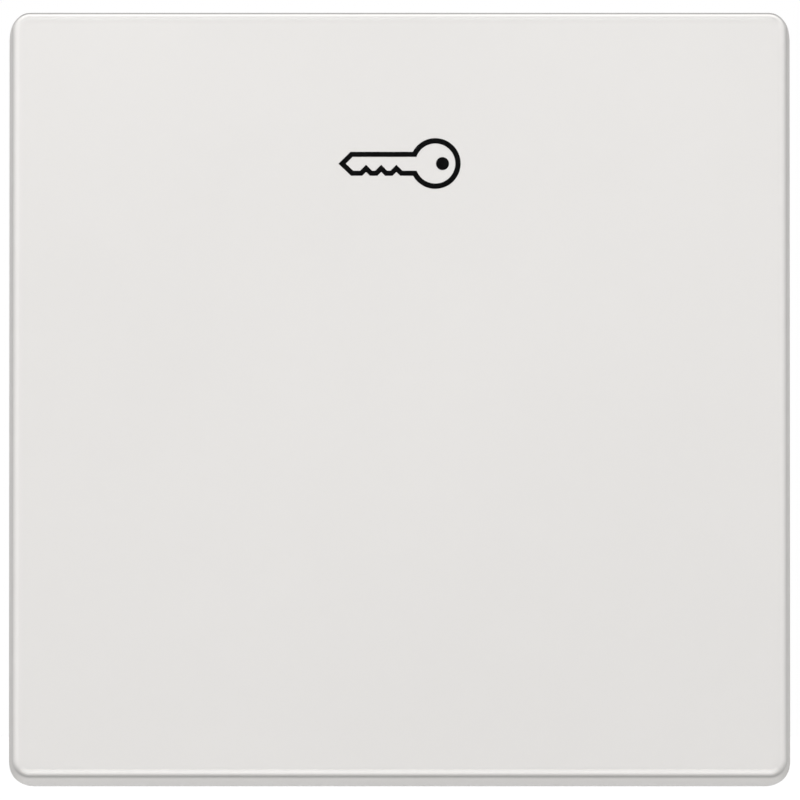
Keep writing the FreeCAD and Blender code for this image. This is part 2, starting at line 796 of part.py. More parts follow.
def make_claw(name, side):
    """One spreading claw: a forked steel strip in the plate's slots, with its teeth bent outwards."""
    body = new_part(f"claw_{name}", across=f"{side} * claw_across", depth="claw_depth")
    start, end = "(claw_ear_end - claw_ear)", "(claw_long + claw_ear)"
    slope = "tan(claw_bend * 1 deg)"
    mitre = "claw_thick / 2 * tan(claw_bend / 2 * 1 deg)"
    inner, inner_fold = f"0 - {side} * claw_thick / 2", f"(claw_fold + {mitre})"
    outer, outer_fold = f"{side} * claw_thick / 2", f"(claw_fold - {mitre})"
    strip = [
        (inner, start),
        (inner, inner_fold),
        (f"{inner} + {side} * ({end} - {inner_fold}) * {slope}", end),
        (f"{outer} + {side} * ({end} - {outer_fold}) * {slope}", end),
        (outer, outer_fold),
        (outer, start),
    ]
    pad(body, "XY", Outline().polygon(strip), "0 - claw_reach", "claw_reach")
    waste = Outline().box(
        f"{start} - claw_ear", "0 - claw_reach - claw_ear", f"{end} + claw_ear", "claw_reach + claw_ear"
    )
    waste.polygon(claw_blank())
    pocket(body, "YZ", waste, "0 - claw_reach", "claw_reach")
    tilt(body, Z_AXIS, f"{-side} * claw_tilt")


def make_claw_screw(name, side):
    """The screw that draws one wedge nut towards the plate."""
    body = new_part(f"claw_screw_{name}", across=f"{side} * claw_across")
    head = Outline().circle("0", "0", "claw_head_round")
    pad(body, "XZ", head, "plate_front - claw_head_tall", "plate_front")
    front = body.Shape.BoundBox.YMin
    dress(body, "Chamfer", lambda edge: at_depth(edge, front), "claw_head_edge")
    pad(body, "XZ", Outline().circle("0", "0", "claw_screw_round"), "plate_front", "claw_screw_long")
    end = body.Shape.BoundBox.YMax
    dress(body, "Chamfer", lambda edge: at_depth(edge, end), "claw_head_edge")
    slot = Outline().middle_box("0", "0", "drive_slot_wide", "2 * claw_head_round")
    pocket(
        body,
        "XZ",
        slot,
        "plate_front - claw_head_tall",
        "plate_front - claw_head_tall + drive_slot_deep",
    )


def make_claw_nut(name, side):
    """The wedge nut that runs on a claw screw and spreads its claw."""
    body = new_part(f"claw_nut_{name}", across=f"{side} * claw_across", depth="nut_depth")
    pad(body, "XZ", Outline().middle_box("0", "0", "nut_wide", "nut_tall"), "0", "nut_thick")
    outside = side * size("nut_wide") / 2

    def wedge_edge(edge):
        return at_depth(edge, 0.0) and abs(edge.BoundBox.Center.x - outside) < 0.01

    dress(body, "Chamfer", wedge_edge, "nut_edge")
    hole = Outline().circle("0", "0", "claw_screw_round + nut_gap")
    pocket(body, "XZ", hole, "0", "nut_thick")


def formed_part(label, shape):
    """A sub-part whose shape is a swept or bent form."""
    item = document.addObject("Part::Feature", "Formed")
    item.Label = label
    item.Shape = shape
    parts.append(item)
    return item


def make_spring(name, radius, wire, low, high):
    """A round coil spring that no one sees, as a plain sleeve of its own outer and inner size."""
    body = new_part(name)
    sleeve = Outline()
    sleeve.circle("0", "plunger_height", f"{radius} + {wire} / 2")
    sleeve.circle("0", "plunger_height", f"{radius} - {wire} / 2")
    pad(body, "XZ", sleeve, f"{low} + spring_seat_gap", f"{high} - spring_seat_gap")


def make_clamp_spring(name, side, level, height):
    """One bent leaf: a leg on the chamber's wall, a bend at the lid and a free leg towards the bar."""
    thick = size("clamp_thick")
    bend = size("clamp_bend")
    outside = size("base_wide") / 2 - size("chamber_wall")
    wall = outside - thick / 2
    top_depth = size("base_deep") - size("lid_thick") - size("stop_gap")
    centre = V(wall - bend, top_depth - thick / 2 - bend, 0)
    bar = outside - size("chamber_wide") + size("bar_thick")
    tip = V(bar + size("clamp_tip_gap") + thick / 2, size("clamp_tip_deep"), 0)
    reach = (tip - centre).Length
    swing = math.asin(bend / reach)
    aim = math.atan2(tip.y - centre.y, tip.x - centre.x)
    leave = aim - (math.pi / 2 - swing)
    leave_point = centre + V(math.cos(leave), math.sin(leave), 0) * bend
    top = (leave + 2 * math.pi if leave < 0 else leave) / 2
    top_point = centre + V(math.cos(top), math.sin(top), 0) * bend
    start = V(wall, size("chamber_deep"), 0)
    turn = V(wall, centre.y, 0)
    line = Part.Wire(
        [
            Part.LineSegment(start, turn).toShape(),
            Part.Arc(turn, top_point, leave_point).toShape(),
            Part.LineSegment(leave_point, tip).toShape(),
        ]
    )
    strip = line.makeOffset2D(thick / 2, 0, True, True)
    other = line.makeOffset2D(-thick / 2, 0, True, True)
    wide = size("clamp_wide")
    leaf = strip.extrude(V(0, 0, wide)).fuse(other.extrude(V(0, 0, wide))).removeSplitter()
    if side < 0:
        leaf = leaf.mirror(V(0, 0, 0), X_AXIS)
    leaf.translate(V(0, 0, height - wide / 2))
    formed_part(f"clamp_spring_{name}_{level}", leaf.Solids[0])


def check_and_write():
    """Writes each sub-part once every object of the document is sound."""
    document.recompute()
    for item in document.Objects:
        if {"Invalid", "Error"} & set(item.State):
            raise RuntimeError(f"{item.Label} failed: {item.State}")
    for item in parts:
        if item.Shape.isNull() or not item.Shape.isValid():
            raise RuntimeError(f"{item.Label} has no sound shape")
    os.makedirs("parts", exist_ok=True)
    for item in parts:
        item.Shape.exportStep(f"parts/{item.Label}.step")


make_rocker_cover()
make_rocker_carrier()
make_support_plate()
make_mechanism_cover()
make_cover_screws()
make_base_housing()
make_plunger()
make_contact_bridge()
make_moving_contacts()
make_spring("contact_spring", "contact_spring_round", "contact_wire", "carriage_open", "bridge_front")
make_spring("return_spring", "return_spring_round", "return_wire", "carriage_back", "spring_floor")
for side_name, side_sign in SIDES:
    make_fixed_contact(side_name, side_sign)
    make_terminal_bar(side_name, side_sign)
    make_terminal_lid(side_name, side_sign)
    make_release_key(side_name, side_sign)
    make_claw(side_name, side_sign)
    make_claw_screw(side_name, side_sign)
    make_claw_nut(side_name, side_sign)
    make_clamp_spring(side_name, side_sign, "lower", size("entry_low"))
    make_clamp_spring(side_name, side_sign, "upper", size("entry_low") + size("entry_apart"))
check_and_write()
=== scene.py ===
import json
import math

import bmesh
import bpy
from mathutils import Matrix, Vector


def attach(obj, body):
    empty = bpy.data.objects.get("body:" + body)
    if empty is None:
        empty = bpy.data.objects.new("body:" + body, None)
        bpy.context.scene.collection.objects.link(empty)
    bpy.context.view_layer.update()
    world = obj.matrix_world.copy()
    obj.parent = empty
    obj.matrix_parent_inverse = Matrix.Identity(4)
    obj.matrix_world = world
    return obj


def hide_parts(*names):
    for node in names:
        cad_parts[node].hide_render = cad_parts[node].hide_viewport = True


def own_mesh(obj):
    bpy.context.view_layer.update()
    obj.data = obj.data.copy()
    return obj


# The looks of a flush rocker pushbutton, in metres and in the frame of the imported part:
# X to the right, Z up, Y into the wall. Sizes below are in millimetres unless said otherwise.

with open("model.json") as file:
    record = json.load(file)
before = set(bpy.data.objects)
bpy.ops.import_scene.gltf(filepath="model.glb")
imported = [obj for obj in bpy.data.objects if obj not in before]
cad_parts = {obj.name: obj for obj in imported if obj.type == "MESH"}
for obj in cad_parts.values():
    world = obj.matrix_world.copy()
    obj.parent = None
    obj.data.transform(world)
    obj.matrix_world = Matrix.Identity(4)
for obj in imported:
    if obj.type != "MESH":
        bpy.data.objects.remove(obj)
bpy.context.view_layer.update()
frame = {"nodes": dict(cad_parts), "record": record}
NODES = frame["nodes"]
SLOTS = {item["node"]: item["material_slot"] for item in frame["record"]["subparts"]}
MM = 0.001

# The rocker's own frame starts at its pivot and is tilted about X.
REST_TILT = math.radians(4.5)
PIVOT = Vector((0.0, -6.0, 0.0))
ROCKER = Matrix.Translation(PIVOT) @ Matrix.Rotation(-REST_TILT, 4, "X")

# The rocker in that frame: from its rim, nearest the wall, past its crease to its face.
RIM_DEPTH = 1.7
RIM_WIDE = 68.0
RIM_TALL = 67.3
RIM_CORNER = 2.25
RIM_ROUND = 0.2
CREASE_CORNER = 1.5
FRONT_ROUND = 0.75
FACE_DEPTH = -6.498
FLARE = 0.432
CORNER_STEPS = 12
# Its hollow back.
SIDE_WALL = 1.6
INNER_CORNER = 1.0
INNER_BEVEL = 0.15
CEILING_DEPTH = -4.7
CEILING_ROUND = 0.5

# How far an added form reaches into the one it stands on.
SUNK = 0.1

# The insert behind the rocker, and how its two sides are called and which way they lie in X.
REAR = 22.5
PLUNGER_HEIGHT = -13.0
CLAW_SCREW_ACROSS = 22.0
ENTRY_HEIGHTS = {"lower": 4.6, "upper": 14.2}
SIDES = (("left", -1), ("right", 1))

WHITE = (1.0, 1.0, 1.0, 1.0)

# The camera: far away on the rocker's level, as the photograph shows no convergence. Its place
# is in metres, lens and sensor are in millimetres and the picture's side is in pixels.
CAMERA_AWAY = 2.9
CAMERA_RIGHT = 0.000037
CAMERA_UP = -0.000042
LENS = 1496.3
SENSOR = 36.0
PICTURE = 800


# ---- node trees


class Tree:
    """Short ways to build a node tree."""

    def __init__(self, tree):
        self.tree = tree
        tree.nodes.clear()

    def node(self, kind, sockets=None, **settings):
        made = self.tree.nodes.new(kind)
        for key, value in settings.items():
            setattr(made, key, value)
        for key, value in (sockets or {}).items():
            if isinstance(value, bpy.types.NodeSocket):
                self.tree.links.new(value, made.inputs[key])
            else:
                made.inputs[key].default_value = value
        return made

    def place(self, stretch=(1.0, 1.0, 1.0)):
        """Object coordinates in metres, stretched along the axes."""
        where = self.node("ShaderNodeTexCoord").outputs["Object"]
        if stretch == (1.0, 1.0, 1.0):
            return where
        return self.node("ShaderNodeMapping", {"Vector": where, "Scale": stretch}).outputs[0]

    def noise(self, per_metre, detail=3.0, stretch=(1.0, 1.0, 1.0), roughness=0.5):
        sockets = {
            "Vector": self.place(stretch),
            "Scale": per_metre,
            "Detail": detail,
            "Roughness": roughness,
        }
        return self.node("ShaderNodeTexNoise", sockets).outputs["Fac"]

    def spread(self, value, low, high, start=0.3, end=0.7):
        """Goes from low to high as the value goes from start to end."""
        sockets = {
            "Value": value,
            "From Min": start,
            "From Max": end,
            "To Min": low,
            "To Max": high,
        }
        return self.node("ShaderNodeMapRange", sockets).outputs["Result"]

    def work(self, operation, *values):
        """One step of plain arithmetic."""
        return self.node("ShaderNodeMath", dict(enumerate(values)), operation=operation).outputs[0]

    def sum(self, value, factor, more):
        """value * factor + more."""
        return self.work("MULTIPLY_ADD", value, factor, more)

    def profile(self, value, stops):
        """A curve of plain numbers from 0 to 1 through a few stops."""
        return self.shades(value, [(position, (level, level, level)) for position, level in stops])

    def shades(self, value, stops):
        """Colours that go over into each other through a few stops."""
        ramp = self.node("ShaderNodeValToRGB", {"Fac": value})
        points = ramp.color_ramp.elements
        points[0].position, points[0].color = stops[0][0], (*stops[0][1], 1.0)
        points[1].position, points[1].color = stops[-1][0], (*stops[-1][1], 1.0)
        for position, colour in stops[1:-1]:
            point = points.new(position)
            point.color = (*colour, 1.0)
        return ramp.outputs["Color"]

    def bump(self, height, distance, strength=1.0, below=None):
        """A normal raised by the height over a distance in metres, on top of another normal."""
        sockets = {"Height": height, "Distance": distance, "Strength": strength}
        if below is not None:
            sockets["Normal"] = below
        return self.node("ShaderNodeBump", sockets).outputs["Normal"]

    def surface(self, sockets):
        self.show(self.node("ShaderNodeBsdfPrincipled", sockets).outputs[0])

    def show(self, shader, output="ShaderNodeOutputMaterial"):
        self.tree.links.new(shader, self.node(output).inputs["Surface"])


# ---- materials


def new_material(name):
    material = bpy.data.materials.new(name)
    material.use_nodes = True
    return material, Tree(material.node_tree)


def tone(colour, factor):
    return tuple(min(1.0, part * factor) for part in colour)


def plastic(name, colour, rough, grain_per_metre, grain_depth, vary=0.03):
    """Moulded plastic: faint flow in its colour, a fine grain and patches of sheen."""
    material, t = new_material(name)
    flow = t.noise(60.0, 4.0)
    colours = t.shades(flow, [(0.3, tone(colour, 1 - vary)), (0.7, tone(colour, 1 + vary))])
    grain = t.noise(grain_per_metre, 4.0, roughness=0.6)
    patches = t.spread(t.noise(220.0, 3.0), rough - 0.05, rough + 0.06)
    t.surface(
        {
            "Base Color": colours,
            "Roughness": patches,
            "IOR": 1.5,
            "Normal": t.bump(grain, grain_depth),
        }
    )
    return material


def metal(name, colour, rough, streak=(1.0, 1.0, 1.0), spangle=0.0):
    """Sheet or turned metal: drawn streaks, spots of duller plating and fine scratches."""
    material, t = new_material(name)
    drawn = t.noise(2600.0, 3.0, stretch=streak)
    spots = t.noise(700.0, 5.0, roughness=0.7)
    mixed = t.work("ADD", drawn, spots)
    low, high = tone(colour, 0.93 - spangle), tone(colour, 1.05 + spangle / 2)
    spotted = t.spread(mixed, 0.0, 1.0, 0.7, 1.3)
    colours = t.shades(spotted, [(0.1, low), (0.5, colour), (0.9, high)])
    scratch_depth, scratch_strength = 0.00001, 0.6
    t.surface(
        {
            "Base Color": colours,
            "Metallic": 1.0,
            "Roughness": t.spread(mixed, rough - 0.05, rough + 0.07, 0.7, 1.3),
            "Normal": t.bump(drawn, scratch_depth, scratch_strength),
        }
    )
    return material


def facings(t, own):
    """How far a surface faces up and down, and straight down and straight up, each from 0 to 1.

    All four follow one share, the signed square of the rocker's Z over those of X and Z.
    """
    way = t.node("ShaderNodeTexCoord").outputs["Normal"]
    sockets = {"Vector": way, "Rotation": own.to_euler()}
    turned = t.node("ShaderNodeMapping", sockets, vector_type="VECTOR").outputs[0]
    part = t.node("ShaderNodeSeparateXYZ", {0: turned}).outputs
    signed = t.work("MULTIPLY", part["Z"], t.work("ABSOLUTE", part["Z"]))
    never_nothing = 0.0002
    square = t.sum(t.work("MULTIPLY", part["Z"], part["Z"]), 1.0, never_nothing)
    share = t.work("DIVIDE", signed, t.sum(part["X"], part["X"], square))
    ranges = (0.05, 0.85), (-0.05, -0.85), (-0.5, -0.98), (0.55, 0.95)
    return [t.spread(share, 0.0, 1.0, start, end) for start, end in ranges]


# The painted highlights and painted shade round the rocker's front edge, each as stops of depth
# and strength. A depth is a share of NEAR or FAR behind the face.
NEAR = 0.5
FAR = 3.0
# Painted highlight on the rounded front edge.
PAINTED_EDGE_LIGHT = [(0.0, 0.0), (0.026, 0.2), (0.07, 0.7), (0.15, 1.0), (0.36, 1.0), (0.54, 0.4), (0.8, 0.0)]
# Painted shade along the crease behind the rounded edge; the same line is also made less glossy.
CREASE_SHADE_AND_MATT = [(0.06, 0.0), (0.09, 0.1), (0.133, 0.5), (0.25, 1.0), (0.46, 0.8), (0.68, 0.25), (0.9, 0.0)]
# Painted highlight along the top edge.
PAINTED_TOP_HIGHLIGHT = [(0.0, 0.38), (0.02, 0.27), (0.1, 0.13), (0.2, 0.36), (0.32, 0.72), (0.44, 0.9)]
PAINTED_TOP_HIGHLIGHT += [(0.52, 0.78), (0.62, 0.28), (0.72, 0.0)]
# Painted highlight along the bottom edge.
PAINTED_LOW_HIGHLIGHT = [(0.03, 0.0), (0.06, 0.12), (0.11, 0.42), (0.29, 1.0), (0.44, 1.0), (0.64, 0.85)]
PAINTED_LOW_HIGHLIGHT += [(0.94, 0.3)]


def edge_shade(t):
    """Painted highlights and painted shade round the rocker's front edge, and where it is less
    glossy.

    The rounded edge has a painted highlight, and the crease behind it has a soft line of painted
    shade that is also less glossy. Both are strongest at the top and bottom. The top is painted
    darker apart from its highlight, the bottom wall a little lighter, and on the straight wall
    behind the top crease the painted shade is taken off again.
    """
    own = ROCKER.inverted()
    sockets = {"Vector": t.place(), "Location": own.translation * MM, "Rotation": own.to_euler()}
    place = t.node("ShaderNodeMapping", sockets).outputs[0]
    depth = t.node("ShaderNodeSeparateXYZ", {0: place}).outputs["Y"]
    face = FACE_DEPTH * MM
    near = t.spread(depth, 0.0, 1.0, face, face + NEAR * MM)
    far = t.spread(depth, 0.0, 1.0, face, face + FAR * MM)
    high, low, straight_down, straight_up = facings(t, own)
    # On the straight top wall behind the crease, the painted shade is taken off again.
    unshaded_top_wall = t.work("MULTIPLY", straight_up, t.spread(far, 0.0, 1.0, 0.27, 0.45))
    crease_shade_and_matt = t.work("MULTIPLY", t.profile(far, CREASE_SHADE_AND_MATT), t.sum(unshaded_top_wall, -1.0, 1.0))

    # How strongly the painted edge highlight shows: most at the bottom, none at the top.
    edge = t.sum(straight_down, 0.13, t.sum(high, -0.09, 0.09))
    shade = t.sum(t.profile(near, PAINTED_EDGE_LIGHT), edge, 1.0)
    # How strongly the painted crease shade shows: most at the top, then the bottom, least at the
    # sides.
    crease = t.sum(high, -0.55, t.sum(low, -0.31, -0.07))
    # Painted shade round the top, darker by 0.3, with a painted highlight on its rounded edge.
    top = t.sum(unshaded_top_wall, 0.3, t.sum(high, t.sum(t.profile(near, PAINTED_TOP_HIGHLIGHT), 0.7, -0.3), 1.0))
    # The bottom wall painted up to a tenth lighter, standing in for light from below.
    wall = t.sum(low, t.spread(far, 0.01, 0.1, 0.3, 0.95), 1.0)
    # Painted highlight on the bottom edge, on top of that lighter wall.
    bottom = t.sum(straight_down, t.sum(t.profile(near, PAINTED_LOW_HIGHLIGHT), 0.24, 0.0), wall)
    for part in (t.sum(crease_shade_and_matt, crease, 1.0), top, bottom):
        shade = t.work("MULTIPLY", shade, part)
    return shade, crease_shade_and_matt


def rocker_plastic():
    """Satin white of the rocker, with an eggshell grain too fine to see from a step away."""
    material, t = new_material("rocker_white")
    white = (0.80, 0.783, 0.765)
    colours = t.shades(t.noise(35.0, 3.0), [(0.35, tone(white, 0.992)), (0.65, tone(white, 1.008))])
    # The colour is scaled by the painted highlights and painted shade round the front edge.
    shade, crease_shade_and_matt = edge_shade(t)
    shaded = t.node("ShaderNodeVectorMath", {0: colours, "Scale": shade}, operation="SCALE")
    ripple = t.bump(t.noise(130.0, 2.0), 0.00002, 0.15)
    grain = t.bump(t.noise(9000.0, 2.0, roughness=0.5), 0.000004, 0.25, ripple)
    # The face is polished to satin; the walls, drawn from the mould, are nearly matt.
    facing = t.node("ShaderNodeSeparateXYZ", {0: t.node("ShaderNodeTexCoord").outputs["Normal"]})
    front = t.spread(facing.outputs["Y"], 0.0, 1.0, -0.15, -0.45)
    satin = t.spread(t.noise(400.0, 3.0), 0.285, 0.325)
    matt = t.spread(t.noise(700.0, 3.0), 0.58, 0.66)
    sheen = t.node("ShaderNodeMix", {0: front, 2: matt, 3: satin}, data_type="FLOAT")
    t.surface(
        {
            "Base Color": shaded.outputs[0],
            "Roughness": sheen.outputs[0],
            "IOR": 1.46,
            # Less specular along the painted crease shade.
            "Specular IOR Level": t.sum(front, 0.38, t.sum(crease_shade_and_matt, -0.12, 0.12)),
            "Normal": grain,
        }
    )
    return material


def ink():
    """Printed black: a little worn, with the faint orange peel of a pad print."""
    material, t = new_material("symbol_black")
    wear = t.noise(2500.0, 4.0)
    colours = t.shades(wear, [(0.35, (0.002, 0.002, 0.0022)), (0.75, (0.006, 0.006, 0.0062))])
    t.surface(
        {
            "Base Color": colours,
            "Roughness": t.spread(wear, 0.5, 0.62),
            "IOR": 1.5,
            "Specular IOR Level": 0.02,
            "Normal": t.bump(wear, 0.000006, 0.4),
        }
    )
    return material


# By slot. A plastic has its colour, roughness, grain per metre, depth of grain in metres and
# flow; a metal its colour, roughness, the stretch of its streaks along the axes and its spangle.
MATERIALS = {
    "rocker_white": rocker_plastic(),
    "carrier_plastic": plastic("carrier_plastic", (0.70, 0.70, 0.67), 0.42, 5200.0, 0.00001),
    "zinc_steel": metal("zinc_steel", (0.60, 0.61, 0.61), 0.37, (1.0, 1.0, 9.0), 0.03),
    "cover_plastic": plastic("cover_plastic", (0.50, 0.51, 0.51), 0.48, 4200.0, 0.000012),
    "screw_steel": metal("screw_steel", (0.62, 0.62, 0.59), 0.34, (1.0, 6.0, 1.0)),
    "base_thermoset": plastic("base_thermoset", (0.23, 0.24, 0.25), 0.5, 3600.0, 0.000016, 0.08),
    "plunger_plastic": plastic("plunger_plastic", (0.74, 0.74, 0.70), 0.34, 5200.0, 0.000008),
    "bridge_copper": metal("bridge_copper", (0.76, 0.42, 0.27), 0.34, (7.0, 1.0, 1.0)),
    "contact_silver": metal("contact_silver", (0.86, 0.85, 0.82), 0.33),
    "spring_steel": metal("spring_steel", (0.56, 0.56, 0.55), 0.34, (1.0, 8.0, 1.0)),
    "bar_brass": metal("bar_brass", (0.78, 0.60, 0.30), 0.34, (1.0, 1.0, 8.0)),
    "lid_plastic": plastic("lid_plastic", (0.55, 0.56, 0.56), 0.46, 4200.0, 0.000012),
    "claw_steel": metal("claw_steel", (0.62, 0.63, 0.62), 0.36, (1.0, 8.0, 1.0), 0.03),
    "nut_steel": metal("nut_steel", (0.60, 0.60, 0.57), 0.37, (8.0, 1.0, 1.0), 0.03),
    "key_plastic": plastic("key_plastic", (0.78, 0.30, 0.05), 0.4, 4800.0, 0.00001),
}
SYMBOL = ink()


# ---- mesh tools


def new_piece(name, tool, body, material, smooth_angle=None):
    """A mesh object from a bmesh in millimetres, riding on a body."""
    bmesh.ops.recalc_face_normals(tool, faces=tool.faces)
    for face in tool.faces:
        face.smooth = smooth_angle is not None
    if smooth_angle is not None:
        for edge in tool.edges:
            if len(edge.link_faces) == 2 and edge.calc_face_angle() > math.radians(smooth_angle):
                edge.smooth = False
    item = bpy.data.objects.new(name, to_mesh(name, tool))
    bpy.context.scene.collection.objects.link(item)
    item.data.materials.append(material)
    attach(item, body)
    return item


def to_mesh(name, tool):
    """A mesh in metres from a bmesh in millimetres."""
    bmesh.ops.scale(tool, vec=(MM, MM, MM), verts=tool.verts)
    mesh = bpy.data.meshes.new(name)
    tool.to_mesh(mesh)
    tool.free()
    return mesh


def evaluated_mesh(item):
    """A new mesh of an object as its curves and modifiers leave it."""
    bpy.context.view_layer.update()
    depsgraph = bpy.context.evaluated_depsgraph_get()
    return bpy.data.meshes.new_from_object(item.evaluated_get(depsgraph))


def rounded_ring(wide, tall, corner, steps):
    """The points of a rounded rectangle in X and Z, anticlockwise from the right."""
    points = []
    for sign_x, sign_z, start in ((1, 1, 0), (-1, 1, 90), (-1, -1, 180), (1, -1, 270)):
        middle_x = sign_x * (wide / 2 - corner)
        middle_z = sign_z * (tall / 2 - corner)
        for step in range(steps + 1):
            angle = math.radians(start + 90 * step / steps)
            x = middle_x + corner * math.cos(angle)
            z = middle_z + corner * math.sin(angle)
            points.append((x, z))
    return points


def quarter_round(radius, steps):
    """Pairs of two distances along a quarter round: the first falls to 0 as the second grows."""
    pairs = []
    for step in range(steps + 1):
        angle = math.radians(90 * step / steps)
        pairs.append((radius * (1 - math.sin(angle)), radius * (1 - math.cos(angle))))
    return pairs


def loft(tool, rings, closed_ends=True):
    """Joins rings of equal counts, each a list of points, into one skin."""
    made = [[tool.verts.new(point) for point in ring] for ring in rings]
    count = len(made[0])
    for low, high in zip(made, made[1:]):
        for index in range(count):
            after = (index + 1) % count
            tool.faces.new((low[index], low[after], high[after], high[index]))
    if closed_ends:
        tool.faces.new(made[0])
        tool.faces.new(list(reversed(made[-1])))


def rounded_block(tool, low, high, edge, steps=3):
    """A block between two corners whose upright edges and both rims along Y are rounded."""
    wide, tall = high[0] - low[0], high[2] - low[2]
    middle_x, middle_z = (low[0] + high[0]) / 2, (low[2] + high[2]) / 2
    least_corner = 0.02
    rounds = quarter_round(edge, steps)
    levels = [(inset, low[1] + rise) for inset, rise in rounds]
    levels += [(inset, high[1] - rise) for inset, rise in reversed(rounds)]
    rings = []
    for inset, depth in levels:
        corner = max(edge - inset, least_corner) + least_corner
        ring = rounded_ring(wide - 2 * inset, tall - 2 * inset, corner, steps)
        rings.append([(middle_x + x, depth, middle_z + z) for x, z in ring])
    loft(tool, rings)


# ---- the rocker


def wall_size(depth):
    """Outer width, height and corner of the rocker at a depth. The corner widens near the rim."""
    share = (RIM_DEPTH - depth) / (RIM_DEPTH - FACE_DEPTH)
    inset = FLARE * share
    corner = CREASE_CORNER + (RIM_CORNER - CREASE_CORNER) * (1 - share) ** 6
    return RIM_WIDE - 2 * inset, RIM_TALL - 2 * inset, corner


def make_rocker_shell():
    """The cap: drafted walls, rounded front, hollow back, ribs, seat pads and clip hooks."""
    tool = bmesh.new()
    rings = []

    def add(wide, tall, corner, depth, inset=0.0):
        ring = rounded_ring(wide - 2 * inset, tall - 2 * inset, corner, CORNER_STEPS)
        rings.append([(x, depth, z) for x, z in ring])

    # From the ceiling outwards to the rim, then forwards to the crease and over onto the face.
    wide, tall = RIM_WIDE - 2 * SIDE_WALL, RIM_TALL - 2 * SIDE_WALL
    for inset, rise in quarter_round(CEILING_ROUND, 6):
        add(wide, tall, INNER_CORNER, CEILING_DEPTH + rise, inset)
    add(wide, tall, INNER_CORNER, RIM_DEPTH - INNER_BEVEL)
    add(wide, tall, INNER_CORNER + 0.1, RIM_DEPTH, -INNER_BEVEL)
    for inset, rise in quarter_round(RIM_ROUND, 4):
        wide, tall, corner = wall_size(RIM_DEPTH - rise)
        add(wide, tall, corner - inset, RIM_DEPTH - rise, inset)
    crease = FACE_DEPTH + FRONT_ROUND
    wall_end = RIM_DEPTH - RIM_ROUND
    for share in (0.03, 0.07, 0.12, 0.18, 0.26, 0.36, 0.5, 0.75):
        depth = wall_end + (crease - wall_end) * share
        add(*wall_size(depth), depth)
    wide, tall, corner = wall_size(crease)
    for rise, inset in quarter_round(FRONT_ROUND, 14):
        add(wide, tall, corner - inset, FACE_DEPTH + rise, inset)
    flat_margin = 0.4
    add(wide, tall, corner - FRONT_ROUND + 0.1, FACE_DEPTH, FRONT_ROUND + flat_margin)
    loft(tool, rings)

    start = CEILING_DEPTH - SUNK
    rib_x, rib_z, rib_half, rib_edge, rib_end = 22.0, 25.0, 0.6, 0.2, CEILING_DEPTH + 1.5
    for side in (-1, 1):
        x, z = side * rib_x, side * rib_z
        reach_x, reach_z = rib_x - rib_half + SUNK, rib_z + rib_half
        low, high = (x - rib_half, start, -reach_z), (x + rib_half, rib_end, reach_z)
        rounded_block(tool, low, high, rib_edge)
        low, high = (-reach_x, start, z - rib_half), (reach_x, rib_end, z + rib_half)
        rounded_block(tool, low, high, rib_edge)
    pad_x, pad_z, pad_half_wide, pad_half_tall, pad_edge = 8.0, 15.0, 3.0, 2.5, 0.15
    for side_x in (-1, 1):
        for side_z in (-1, 1):
            x, z = side_x * pad_x, side_z * pad_z
            low = (x - pad_half_wide, start, z - pad_half_tall)
            high = (x + pad_half_wide, CEILING_DEPTH + 0.5, z + pad_half_tall)
            rounded_block(tool, low, high, pad_edge)
            add_hook(tool, x, pad_half_wide, side_z)
    bmesh.ops.transform(tool, matrix=ROCKER, verts=tool.verts)
    shell = new_piece("rocker_shell", tool, "rocker", MATERIALS["rocker_white"], 40)
    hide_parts("rocker_cover")


def add_hook(tool, x, half_wide, side):
    """One clip hook: a leg from the ceiling with a sloped lip over the carrier's back."""
    inside, outside = 17.6, 18.9
    back, lip, lip_deep = -2.5, 0.68, 0.88
    outline = [
        (CEILING_DEPTH - SUNK, inside),
        (back, inside),
        (back, inside - lip),
        (back + 0.25, inside - lip),
        (back + lip_deep, inside - 0.1),
        (back + lip_deep, outside - 0.25),
        (back + 0.7, outside),
        (CEILING_DEPTH - SUNK, outside),
    ]
    ends = (x - half_wide, x + half_wide)
    loft(tool, [[(end, depth, side * z) for depth, z in outline] for end in ends])


def face_point(column, row):
    """Where on the rocker's face, in its own X and Z, a pixel of the picture is seen."""
    scale = PICTURE * LENS / SENSOR
    sight = Vector(((column - PICTURE / 2) / scale, 1.0, (PICTURE / 2 - row) / scale))
    start = Vector((CAMERA_RIGHT, -CAMERA_AWAY, CAMERA_UP)) / MM
    to_face = ROCKER.inverted()
    here, way = to_face @ start, to_face.to_3x3() @ sight
    hit = here + way * ((FACE_DEPTH - here.y) / way.y)
    return hit.x, hit.z


def arc(middle, radius, start, end, steps):
    points = []
    for step in range(steps + 1):
        angle = math.radians(start + (end - start) * step / steps)
        points.append((middle[0] + radius * math.cos(angle), middle[1] - radius * math.sin(angle)))
    return points


def key_outlines():
    """The key symbol in pixels of the picture: its outer edge, its inner edge and the dot."""
    ring, outer, inner = (435.3, 163.5), 25.32, 20.02
    top, bottom, stroke = 151.87, 175.72, 4.95
    top_in, bottom_in = top + stroke, bottom - stroke

    def joint(radius, row):
        """Where a straight edge of the shank meets the ring, in degrees."""
        return 180 - math.degrees(math.asin((ring[1] - row) / radius))

    outside = arc(ring, outer, joint(outer, top), joint(outer, bottom) - 360, 96)
    inside = arc(ring, inner, joint(inner, top_in), joint(inner, bottom_in) - 360, 96)
    notches = (396.4, 381.2, 366.1)
    half, peak, peak_in = 3.9, 171.9, 164.8
    half_in = bottom_in - peak_in
    for middle in notches:
        outside += [(middle + half, bottom), (middle, peak), (middle - half, bottom)]
        inside += [(middle + half_in, bottom_in), (middle, peak_in), (middle - half_in, bottom_in)]
    outside += [(351.0, bottom), (338.5, 163.7), (350.5, top)]
    inside += [(353.2, bottom_in), (345.8, 163.7), (352.5, top_in)]
    dot = arc((442.5, 163.6), 6.5, 0, 350, 35)
    return outside, inside, dot


